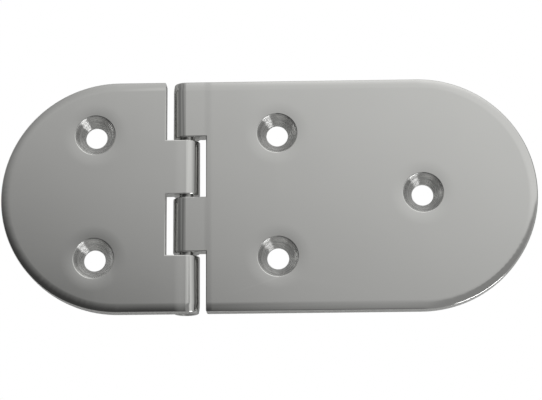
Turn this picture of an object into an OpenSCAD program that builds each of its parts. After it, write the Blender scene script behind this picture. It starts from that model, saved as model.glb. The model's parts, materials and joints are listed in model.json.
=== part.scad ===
// Flush strap hinge: a short leaf and a long leaf that turn on one plain pin.
// X runs from the short leaf to the tip of the long leaf, Y along the pin and
// Z out of the countersunk front faces. The origin is midway between the short
// leaf's two screw holes, on the plane of the leaf backs.

/* [Leaves] */
// Width of both leaves, along the pin
leaf_w = 61.6; // [56:0.2:70]
// Thickness of both leaves
leaf_t = 4.0; // [3.9:0.1:4.6]
// Reach of the short leaf from the pin axis
short_reach = 48.4; // [46:0.2:60]
// Reach of the long leaf from the pin axis
long_reach = 91.6; // [88:0.2:130]
// Radius of the gentle crown along the outer edges of the front faces
crown_round = 12; // [8:1:14]
// Slope of the crown where it meets the edge's own small round
crown_slope = 10; // [6:1:12]
// Radius of the small round along the outer front edges
front_round = 0.5; // [0.4:0.1:0.9]
// Radius of the rounded edge round the backs
back_round = 0.4; // [0.3:0.1:0.5]

/* [Barrel] */
// Outside diameter of the knuckles
barrel_d = 7.0; // [6.8:0.1:7.6]
// Diameter of the pin
pin_d = 4.0; // [3.4:0.1:4.2]
// Gap between neighbouring knuckles
knuckle_gap = 0.8; // [0.4:0.1:1.0]
// Distance from the pin axis to the straight edge of each leaf
edge_reach = 5.25; // [5:0.05:6]
// Radius of the rounded edges beside the gaps
inner_round = 0.3; // [0.2:0.1:0.5]

/* [Screw holes] */
// Distance from the pin axis to each screw pair
pair_reach = 23.9; // [22:0.1:26]
// Distance between the two screws of a pair
pair_pitch = 33; // [30:0.5:36]
// Distance from the pin axis to the tip screw
tip_reach = 61.8; // [58:0.2:70]
// Diameter of the screw holes
hole_d = 5.7; // [5.5:0.1:6]
// Diameter of the countersinks at the front face
sink_d = 10.5; // [10:0.1:11]
// Radius of the softened lip of the countersinks
lip_round = 0.4; // [0.2:0.1:0.5]

/* [Hidden] */
// Angle of the countersinks
sink_angle = 75;
$fn = 96;
over = 1;
barrel_r = barrel_d / 2;
pin_r = pin_d / 2;
hole_r = hole_d / 2;
sink_r = sink_d / 2;
half_w = leaf_w / 2;
quarter_w = leaf_w / 4;
half_gap = knuckle_gap / 2;
// The barrel's top is level with the front faces, less a hair that keeps the two
// surfaces from touching along a line.
barrel_drop = 0.02;
axis_z = leaf_t - barrel_r - barrel_drop;
run_clearance = 0.05;
// How far a knuckle's web runs into the plate.
web_lap = 0.5;
pin_recess = 0.1;
pin_round = 0.25;
corner_r = 0.6;
// The crown starts crown_w inside the edge. The small round's centre lies edge_down
// below the front face, and it meets the crown edge_in inside the edge.
crown_w = front_round + (crown_round - front_round) * sin(crown_slope);
edge_down = crown_round - (crown_round - front_round) * cos(crown_slope);
edge_in = front_round * (1 - sin(crown_slope));
// The small round stands this much proud of a tangent fit, so that the two arcs cross
// instead of only touching.
blend_hair = 0.01;
sink_half = sink_angle / 2;
sink_depth = (sink_r - hole_r) / tan(sink_half);
// The lip's arc touches the front face at lip_x and the cone at lip_h below it.
lip_h = lip_round * (1 - sin(sink_half));
lip_x = sink_r + lip_round * (1 / cos(sink_half) - tan(sink_half));

// What a rounded corner takes off, with the arc's centre at the origin.
module corner_cut(r) {
    difference() {
        square(r + over);
        circle(r);
    }
}

// What the crown and the small round take off an outer edge, with the corner at the origin.
module crown_cut() {
    difference() {
        translate([-crown_w, -edge_down]) square([crown_w + over, edge_down + over]);
        translate([-crown_w, -crown_round]) circle(crown_round);
    }
    translate([-edge_in, blend_hair - edge_down])
        difference() {
            square([edge_in + over, edge_down + over]);
            translate([edge_in - front_round, 0]) circle(front_round);
        }
}

// What the end at y takes off, on an outer edge or beside a gap, turned to face +Y.
module front_cut(outer) {
    if (outer) crown_cut();
    else translate([-inner_round, -inner_round]) corner_cut(inner_round);
}

// Section of a leaf across its width, with its front edges outer ones or not.
module leaf_section(y0, y1, outer0, outer1) {
    difference() {
        translate([y0, 0]) square([y1 - y0, leaf_t]);
        translate([y1, leaf_t]) front_cut(outer1);
        translate([y0, leaf_t]) mirror([1, 0]) front_cut(outer0);
        translate([y1 - back_round, back_round]) mirror([0, 1]) corner_cut(back_round);
        translate([y0 + back_round, back_round]) rotate(180) corner_cut(back_round);
    }
}

// A leaf's plate, from its straight edge out to its half-round end.
module plate(reach) {
    end_x = reach - half_w;
    difference() {
        translate([edge_reach, 0, 0])
            rotate([90, 0, 90])
                linear_extrude(end_x - edge_reach)
                    leaf_section(-half_w, half_w, true, true);
        translate([edge_reach + inner_round, half_w + over, leaf_t - inner_round])
            rotate([90, 0, 0])
                linear_extrude(leaf_w + 2 * over)
                    mirror([1, 0])
                        corner_cut(inner_round);
    }
    translate([end_x, 0, 0])
        rotate([0, 0, -90])
            rotate_extrude(angle = 180)
                intersection() {
                    leaf_section(-half_w, half_w, true, true);
                    square([half_w, leaf_t]);
                }
}

// The free corner of a plate, beside the end knuckle of the other leaf.
module corner_tool() {
    translate([edge_reach + corner_r, half_w - corner_r, -over])
        mirror([1, 0, 0])
            linear_extrude(leaf_t + 2 * over)
                corner_cut(corner_r);
}

// Barrel and web of one knuckle. The end at y1 is crowned if it is an outer one.
module knuckle(y0, y1, outer) {
    translate([0, 0, axis_z])
        rotate([-90, 0, 0])
            rotate_extrude()
                difference() {
                    translate([0, y0]) square([barrel_r, y1 - y0]);
                    translate([barrel_r, y1]) mirror([1, -1]) front_cut(outer);
                    translate([barrel_r, y0]) rotate(-90) front_cut(false);
                }
    rotate([90, 0, 90])
        linear_extrude(edge_reach + web_lap)
            leaf_section(y0, y1, false, outer);
}

// A screw hole with its countersink and softened lip, all turned from one outline.
module screw_tool() {
    rotate_extrude()
        difference() {
            polygon([
                [0, -over], [hole_r, -over], [hole_r, leaf_t - sink_depth],
                [sink_r - lip_h * tan(sink_half), leaf_t - lip_h],
                [lip_x, leaf_t - lip_h], [lip_x, leaf_t + over], [0, leaf_t + over]
            ]);
            translate([lip_x, leaf_t - lip_round]) circle(lip_round);
        }
}

// A leaf with its knuckles at the far side of each boundary in from_y.
module leaf(reach, from_y, bore_r, tip_hole) {
    difference() {
        union() {
            plate(reach);
            for (y = from_y) {
                outer = y + quarter_w > half_w - over;
                knuckle(y + half_gap, y + quarter_w - (outer ? 0 : half_gap), outer);
            }
        }
        mirror([0, 1, 0]) corner_tool();
        for (side = [-1, 1])
            translate([pair_reach, side * pair_pitch / 2, 0]) screw_tool();
        if (tip_hole) translate([tip_reach, 0, 0]) screw_tool();
        translate([0, half_w + over, axis_z])
            rotate([90, 0, 0])
                cylinder(h = leaf_w + 2 * over, r = bore_r);
    }
}

// Short leaf: the pin is pressed into its two knuckles.
module short_leaf() {
    color([0.70, 0.70, 0.69])
        translate([pair_reach, 0, 0])
            rotate([0, 0, 180])
                leaf(short_reach, [-quarter_w, quarter_w], pin_r, false);
}

// Long leaf: its two knuckles turn on the pin.
module long_leaf() {
    color([0.76, 0.76, 0.75])
        translate([pair_reach, 0, 0])
            leaf(long_reach, [-quarter_w, quarter_w], pin_r + run_clearance, true);
}

// Pin: a plain rod with softened ends, just inside the ends of the barrel.
module hinge_pin() {
    length = leaf_w - 2 * pin_recess;
    color([0.62, 0.62, 0.61])
        translate([pair_reach, 0, axis_z])
            rotate([-90, 0, 0])
                rotate_extrude()
                    difference() {
                        translate([0, -length / 2]) square([pin_r, length]);
                        for (flip = [0, 1])
                            mirror([0, flip])
                                translate([pin_r - pin_round, length / 2 - pin_round])
                                    corner_cut(pin_round);
                    }
}

short_leaf();
long_leaf();
hinge_pin();
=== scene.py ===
import json
import math

import bpy
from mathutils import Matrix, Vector


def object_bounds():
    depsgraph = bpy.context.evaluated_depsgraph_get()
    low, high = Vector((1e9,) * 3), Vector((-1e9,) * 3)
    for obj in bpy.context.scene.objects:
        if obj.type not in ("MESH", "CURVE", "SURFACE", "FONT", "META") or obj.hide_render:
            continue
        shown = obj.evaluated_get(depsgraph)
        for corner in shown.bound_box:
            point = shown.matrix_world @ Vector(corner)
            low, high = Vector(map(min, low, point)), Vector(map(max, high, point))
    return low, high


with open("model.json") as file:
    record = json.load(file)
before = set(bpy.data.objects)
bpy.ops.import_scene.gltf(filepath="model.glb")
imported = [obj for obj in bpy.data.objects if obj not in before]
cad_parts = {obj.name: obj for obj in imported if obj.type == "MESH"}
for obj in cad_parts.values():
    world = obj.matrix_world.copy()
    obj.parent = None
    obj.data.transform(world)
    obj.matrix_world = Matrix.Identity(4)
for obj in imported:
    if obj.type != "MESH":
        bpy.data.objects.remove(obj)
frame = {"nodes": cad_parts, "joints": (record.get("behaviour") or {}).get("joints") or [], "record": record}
CAD_LOW, CAD_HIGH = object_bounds()
NODES = frame["nodes"]
MOUNTS = {m["name"]: m for m in frame["record"]["mounts"]}
PIN_X = frame["joints"][0]["pos_m"][0]
MM = 0.001

# Finish. A pair is where something starts and where it ends.
STEEL = (0.72, 0.72, 0.71, 1)
PIN_STEEL = (0.6, 0.6, 0.59, 1)
NOISE_SPAN = (0.3, 0.7)
POLISH_SCALE = 60.0
POLISH_ROUGH = (0.07, 0.13)
PIN_SCALE = 400.0
PIN_ROUGH = (0.18, 0.3)
FRONT_FADE = (0.3 * MM, 0.6 * MM)
CONE_R = 5.3 * MM
CONE_SOFT = 0.1 * MM
TURNED_ROUGH = 0.28
TURNED_VARY = 0.06
RING_SCALE = 1400.0
RING_HIGH = 0.012 * MM
WAVE_SCALE = 28.0
WAVE_HIGH = 0.05 * MM
DISH_WIDE = 3.4 * MM
DISH_DEEP = 0.05 * MM
DISH_POWER = 2.0
CRISP_ANGLE = math.radians(32)
WELD_DISTANCE = 0.001 * MM
FACE_WEIGHT = 50

# Where a hand-softened edge starts and ends in x, and its rise.
KNUCKLE_ROLL = (PIN_X - 3.0 * MM, PIN_X + 0.8 * MM, -0.05 * MM)
EDGE_ROLL = (PIN_X + 4.6 * MM, PIN_X + 6.9 * MM, 0.035 * MM)


# ---------------------------------------------------------------- node helpers

class Graph:
    """Short calls for making and joining the shader nodes of one tree."""

    def __init__(self, tree):
        self.tree = tree

    def node(self, kind, **settings):
        made = self.tree.nodes.new(kind)
        for name, value in settings.items():
            setattr(made, name, value)
        return made

    def join(self, value, socket):
        if isinstance(value, bpy.types.NodeSocket):
            self.tree.links.new(value, socket)
        else:
            socket.default_value = value

    def math(self, operation, a, b=0.0, c=0.0):
        made = self.node("ShaderNodeMath", operation=operation)
        for value, socket in zip((a, b, c), made.inputs):
            self.join(value, socket)
        return made.outputs[0]

    def vector(self, operation, a, b=(0.0, 0.0, 0.0)):
        made = self.node("ShaderNodeVectorMath", operation=operation)
        self.join(a, made.inputs[0])
        self.join(b, made.inputs[1])
        return made.outputs["Value" if operation == "LENGTH" else "Vector"]

    def spread(self, value, low, high, out_low=0.0, out_high=1.0, smooth=True):
        made = self.node("ShaderNodeMapRange", interpolation_type="SMOOTHSTEP" if smooth else "LINEAR")
        for item, socket in zip((value, low, high, out_low, out_high), made.inputs):
            self.join(item, socket)
        return made.outputs[0]

    def noise(self, coords, scale, detail):
        made = self.node("ShaderNodeTexNoise")
        self.join(coords, made.inputs["Vector"])
        made.inputs["Scale"].default_value = scale
        made.inputs["Detail"].default_value = detail
        return made.outputs["Fac"]

    def blend(self, factor, a, b):
        made = self.node("ShaderNodeMix", data_type="FLOAT")
        self.join(factor, made.inputs[0])
        self.join(a, made.inputs[2])
        self.join(b, made.inputs[3])
        return made.outputs[0]

    def choose(self, factor, a, b):
        made = self.node("ShaderNodeMix", data_type="VECTOR")
        self.join(factor, made.inputs[0])
        self.join(a, made.inputs[4])
        self.join(b, made.inputs[5])
        return made.outputs[1]


# ---------------------------------------------------------------- materials

def hole_centres(*mounts):
    """Where the screw holes are, read from the record's mounts."""
    centres = []
    for name in mounts:
        m = MOUNTS[name]
        x, y = m["pos_m"][:2]
        half = m["dims"].get("spacing_y_mm", 0) * MM / 2
        centres += [(x, y + half), (x, y - half)] if half else [(x, y)]
    return centres


def polished_steel(name, holes, roll):
    """Polished steel, with turned cones at the holes and one hand-softened edge."""
    mat = bpy.data.materials.new(name)
    mat.use_nodes = True
    g = Graph(mat.node_tree)
    shader = mat.node_tree.nodes["Principled BSDF"]
    coords = g.node("ShaderNodeTexCoord").outputs["Object"]
    split = g.node("ShaderNodeSeparateXYZ")
    g.join(coords, split.inputs[0])

    # The way out from the nearest hole, and how far it is.
    away = (1.0, 0.0, 0.0)
    nearest = 1.0
    for hx, hy in holes:
        flat = g.vector("MULTIPLY", g.vector("SUBTRACT", coords, (hx, hy, 0)), (1, 1, 0))
        length = g.vector("LENGTH", flat)
        away = g.choose(g.math("LESS_THAN", length, nearest), away, flat)
        nearest = g.math("MINIMUM", nearest, length)
    # The backs are plain, so what the front has starts a little above them.
    front = g.spread(split.outputs[2], *FRONT_FADE)
    cone = g.spread(nearest, CONE_R - CONE_SOFT, CONE_R + CONE_SOFT, 1.0, 0.0)
    in_cone = g.math("MULTIPLY", cone, front)

    shader.inputs["Base Color"].default_value = STEEL
    shader.inputs["Metallic"].default_value = 1
    polish = g.spread(g.noise(coords, POLISH_SCALE, 3.0), *NOISE_SPAN, *POLISH_ROUGH)
    # The cones are turned: smooth along the rings, rough across them.
    ring_at = g.node("ShaderNodeCombineXYZ")
    g.join(nearest, ring_at.inputs[0])
    rings = g.noise(ring_at.outputs[0], RING_SCALE, 2.0)
    turned = g.spread(rings, *NOISE_SPAN, TURNED_ROUGH - TURNED_VARY, TURNED_ROUGH + TURNED_VARY)
    g.join(g.blend(in_cone, polish, turned), shader.inputs["Roughness"])
    g.join(in_cone, shader.inputs["Anisotropic"])
    g.join(g.vector("NORMALIZE", away), shader.inputs["Tangent"])

    # Slow waves of hand polishing, a shallow dish round each hole, rings in the cones and a soft edge.
    waves = g.noise(coords, WAVE_SCALE, 1.0)
    slope = g.spread(nearest, CONE_R, CONE_R + DISH_WIDE, 1.0, 0.0, smooth=False)
    dish = g.math("POWER", slope, DISH_POWER)
    start, end, rise = roll
    soft_edge = g.math("MULTIPLY", g.spread(split.outputs[0], start, end), rise)
    worked = g.math("MULTIPLY_ADD", dish, -DISH_DEEP, soft_edge)
    height = g.math("MULTIPLY_ADD", worked, front, g.math("MULTIPLY", waves, WAVE_HIGH))
    height = g.math("MULTIPLY_ADD", g.math("MULTIPLY", rings, in_cone), RING_HIGH, height)
    bump = g.node("ShaderNodeBump")
    bump.inputs["Strength"].default_value = 1.0
    bump.inputs["Distance"].default_value = 1.0
    g.join(height, bump.inputs["Height"])
    g.join(bump.outputs[0], shader.inputs["Normal"])
    return mat


def pin_steel(name):
    """Ground steel for the pin's ends, duller than the leaves."""
    mat = bpy.data.materials.new(name)
    mat.use_nodes = True
    g = Graph(mat.node_tree)
    shader = mat.node_tree.nodes["Principled BSDF"]
    coords = g.node("ShaderNodeTexCoord").outputs["Object"]
    shader.inputs["Base Color"].default_value = PIN_STEEL
    shader.inputs["Metallic"].default_value = 1
    ground = g.spread(g.noise(coords, PIN_SCALE, 3.0), *NOISE_SPAN, *PIN_ROUGH)
    g.join(ground, shader.inputs["Roughness"])
    return mat


def crisp_edges():
    """A modifier group that shades smoothly across every edge flatter than an angle."""
    group = bpy.data.node_groups.new("crisp_edges", "GeometryNodeTree")
    group.interface.new_socket("Geometry", in_out="INPUT", socket_type="NodeSocketGeometry")
    group.interface.new_socket("Geometry", in_out="OUTPUT", socket_type="NodeSocketGeometry")
    g = Graph(group)
    start = g.node("NodeGroupInput")
    end = g.node("NodeGroupOutput")
    angle = g.node("GeometryNodeInputMeshEdgeAngle").outputs["Unsigned Angle"]
    flat = g.node("FunctionNodeCompare", data_type="FLOAT", operation="LESS_THAN")
    g.join(angle, flat.inputs[0])
    g.join(CRISP_ANGLE, flat.inputs[1])
    faces = g.node("GeometryNodeSetShadeSmooth", domain="FACE")
    edges = g.node("GeometryNodeSetShadeSmooth", domain="EDGE")
    g.join(start.outputs[0], faces.inputs["Geometry"])
    g.join(faces.outputs[0], edges.inputs["Geometry"])
    g.join(flat.outputs[0], edges.inputs["Shade Smooth"])
    g.join(edges.outputs[0], end.inputs[0])
    return group


def dress(node, mat, edges):
    """Puts a finish on a CAD node and shades its flats flat and its rounds round."""
    node.data.materials.clear()
    node.data.materials.append(mat)
    node.modifiers.new("weld", "WELD").merge_threshold = WELD_DISTANCE
    node.modifiers.new("crisp_edges", "NODES").node_group = edges
    normals = node.modifiers.new("flat_faces", "WEIGHTED_NORMAL")
    normals.keep_sharp = True
    normals.weight = FACE_WEIGHT


short_holes = hole_centres("short_leaf_screws")
long_holes = hole_centres("long_leaf_screws", "long_leaf_tip_screw")
edges = crisp_edges()
dress(NODES["short_leaf"], polished_steel("short_leaf_steel", short_holes, KNUCKLE_ROLL), edges)
dress(NODES["long_leaf"], polished_steel("long_leaf_steel", long_holes, EDGE_ROLL), edges)
dress(NODES["hinge_pin"], pin_steel("pin_steel"), edges)


# ---------------------------------------------------------------- studio

FLOOR_WIDE = 4
FLOOR_DROP = 30 * MM
FLOOR_TONE = (0.8, 0.8, 0.8, 1)
FLOOR_ROUGH = 0.7

STRIP_PLACE = (0.62, -0.62, 0.50)
STRIP_AIM = (0.02, 0, 0)
STRIP_SIZE = (0.46, 0.24)
STRIP_POWER = 2.2

CAMERA_SENSOR = 36
CAMERA_LENS = 110.5
CAMERA_PLACE = (PIN_X + 30.6 * MM, -100.0 * MM, CAD_HIGH.z + 421.3 * MM)
CAMERA_TURN = (0.2295, 0.0194, -0.0125)

# The world's light goes by direction: x to the right, y to the back and z up, each from -1
# to 1. A pair is where a change starts and ends.
BOX_LEAN = (0.49, 0.87)
BOX_FADE = (-0.20, 0.65)
BOX_LEVEL = 1.05
LOWER_FADE = (-0.16, 0.14)
LOWER_LIFT = 0.3
LOWER_SHARE = 0.7
LOWER_RIGHT = (-0.1, 0.0)
EVEN_LEVEL = 0.61
EVEN_SLOPE = 0.9
EVEN_END = 0.12
EVEN_BLEND = 0.1
REAR_FADE = (0.42, 0.75)
REAR_GAIN = 0.4
REAR_RIGHT = (-0.1, 0.03)
REAR_LEFT_SHARE = 0.2
LOW_FADE = (0.45, 0.75)
LOW_LEVEL = 0.15
LOW_TILT = 0.7
SPOT_AT = (-0.16, 0.10)
SPOT_R = 0.17
SPOT_LEVEL = 0.58
PALE_FADE = (0.48, 0.66)
PALE_LEVEL = 0.25
PALE_END = (0.85, 1.0)
PALE_END_SHARE = 0.4
PALE_BEHIND = (0.0, 0.3)
FRONT_WALL_FADE = (0.62, 0.88)
FRONT_WALL_LEVEL = 0.22
EDGE_SLOPE = 0.36
EDGE_SHIFT = 0.04
EDGE_SOFT = 0.015
EDGE_FADE = (0.05, 0.12)
DIM_LEVEL = 0.23
FAR_FADE = (0.40, 0.62)
FAR_SLOPE = 0.8
FAR_SHIFT = -0.16
ROOM_LEVEL = 0.05
ROOM_TINT = (1.0, 1.0, 0.985)


def make_floor():
    """A pale table, low enough for the long leaf to fold back without going through it."""
    bpy.ops.mesh.primitive_plane_add(size=FLOOR_WIDE, location=(0, 0, CAD_LOW.z - FLOOR_DROP))
    floor = bpy.context.object
    floor.name = "floor"
    mat = bpy.data.materials.new("light_table")
    mat.use_nodes = True
    g = Graph(mat.node_tree)
    shader = mat.node_tree.nodes["Principled BSDF"]
    shader.inputs["Base Color"].default_value = FLOOR_TONE
    shader.inputs["Roughness"].default_value = FLOOR_ROUGH
    # Seen straight it glows evenly, so that it carries no shadow.
    glow = g.node("ShaderNodeEmission")
    glow.inputs["Strength"].default_value = 1.0
    seen = g.node("ShaderNodeLightPath").outputs["Is Camera Ray"]
    blend = g.node("ShaderNodeMixShader")
    g.join(seen, blend.inputs[0])
    g.join(shader.outputs[0], blend.inputs[1])
    g.join(glow.outputs[0], blend.inputs[2])
    g.join(blend.outputs[0], mat.node_tree.nodes["Material Output"].inputs["Surface"])
    floor.data.materials.append(mat)


def soft_box(g, x, y, z):
    """One broad box overhead, brighter to the right and to the back."""
    # Toward the front it fades more slowly on the right.
    below = g.spread(y, *LOWER_FADE, LOWER_LIFT, 0.0, smooth=False)
    up = g.math("MULTIPLY_ADD", g.math("MULTIPLY", below, LOWER_SHARE), g.spread(x, *LOWER_RIGHT), y)
    lean_x, lean_y = BOX_LEAN
    toward = g.math("ADD", g.math("MULTIPLY", x, lean_x), g.math("MULTIPLY", up, lean_y))
    box = g.spread(toward, *BOX_FADE, 0.0, BOX_LEVEL)
    # Its middle is even, and brighter to the right and near the horizon behind.
    rear_side = g.spread(x, *REAR_RIGHT, REAR_LEFT_SHARE, 1.0)
    rear = g.math("MULTIPLY", g.spread(y, *REAR_FADE, 0.0, REAR_GAIN), rear_side)
    even = g.math("MULTIPLY_ADD", g.math("MINIMUM", x, EVEN_END), EVEN_SLOPE, EVEN_LEVEL)
    box = g.math("SMOOTH_MIN", box, g.math("ADD", even, rear), EVEN_BLEND)
    # It ends before the horizon, and further down at the back.
    height = g.math("MULTIPLY_ADD", g.math("MAXIMUM", y, 0.0), LOW_TILT, z)
    return g.math("MULTIPLY", box, g.spread(height, *LOW_FADE, LOW_LEVEL, 1.0))


def dim_spot(g, x, y):
    """A dim round spot, a little to the left of straight up and to the back."""
    spot_x, spot_y = SPOT_AT
    gap = g.node("ShaderNodeCombineXYZ")
    g.join(g.math("SUBTRACT", x, spot_x), gap.inputs[0])
    g.join(g.math("SUBTRACT", y, spot_y), gap.inputs[1])
    return g.spread(g.vector("LENGTH", gap.outputs[0]), 0.0, SPOT_R, SPOT_LEVEL, 1.0)


def pale_walls(g, x, y, box):
    """A pale wall low on the left behind the hinge, and another low in front, added to the box."""
    left = g.math("MULTIPLY", x, -1.0)
    fading = g.spread(left, *PALE_END, 1.0, PALE_END_SHARE)
    pale = g.math("MULTIPLY", g.spread(left, *PALE_FADE, 0.0, PALE_LEVEL), fading)
    box = g.math("MULTIPLY_ADD", pale, g.spread(y, *PALE_BEHIND), box)
    toward_front = g.math("MULTIPLY", y, -1.0)
    return g.math("ADD", box, g.spread(toward_front, *FRONT_WALL_FADE, 0.0, FRONT_WALL_LEVEL))


def near_edge(g, x, y, z, box):
    """The box's near edge on the right: a straight line, with a dim wall past it."""
    past = g.math("SUBTRACT", g.math("MULTIPLY_ADD", x, EDGE_SLOPE, EDGE_SHIFT), y)
    wall = g.math("MULTIPLY", g.spread(past, -EDGE_SOFT, EDGE_SOFT), g.spread(x, *EDGE_FADE))
    far = g.math("MULTIPLY", g.spread(x, *FAR_FADE), g.math("MULTIPLY_ADD", z, FAR_SLOPE, FAR_SHIFT))
    return g.blend(wall, box, g.math("ADD", far, DIM_LEVEL))


def make_world():
    """A dim room that holds the soft box and the pale walls."""
    world = bpy.data.worlds.new("studio")
    bpy.context.scene.world = world
    world.use_nodes = True
    g = Graph(world.node_tree)
    look = g.node("ShaderNodeTexCoord").outputs["Generated"]
    split = g.node("ShaderNodeSeparateXYZ")
    g.join(look, split.inputs[0])
    x, y, z = split.outputs
    box = g.math("MULTIPLY", soft_box(g, x, y, z), dim_spot(g, x, y))
    box = pale_walls(g, x, y, box)
    level = near_edge(g, x, y, z, box)
    level = g.math("ADD", g.math("MAXIMUM", level, 0.0), ROOM_LEVEL)
    back = world.node_tree.nodes["Background"]
    tint = g.node("ShaderNodeCombineXYZ")
    for socket, share in zip(tint.inputs, ROOM_TINT):
        g.join(g.math("MULTIPLY", level, share), socket)
    g.join(tint.outputs[0], back.inputs["Color"])
    bpy.context.scene.view_settings.view_transform = "Standard"


def make_light(name, place, aim, size, power):
    """A rectangular lamp that faces a point."""
    data = bpy.data.lights.new(name, "AREA")
    data.shape = "RECTANGLE"
    data.size, data.size_y = size
    data.energy = power
    lamp = bpy.data.objects.new(name, data)
    lamp.location = place
    lamp.rotation_mode = "QUATERNION"
    lamp.rotation_quaternion = (Vector(aim) - Vector(place)).to_track_quat("-Z", "Y")
    bpy.context.collection.objects.link(lamp)


def make_camera():
    """The main view, from above and a little in front."""
    data = bpy.data.cameras.new("camera")
    cam = bpy.data.objects.new("camera", data)
    bpy.context.collection.objects.link(cam)
    bpy.context.scene.camera = cam
    data.sensor_width = CAMERA_SENSOR
    data.lens = CAMERA_LENS
    cam.rotation_mode = "ZYX"
    cam.location = CAMERA_PLACE
    cam.rotation_euler = CAMERA_TURN


make_floor()
make_world()
make_light("strip", STRIP_PLACE, STRIP_AIM, STRIP_SIZE, STRIP_POWER)
make_camera()
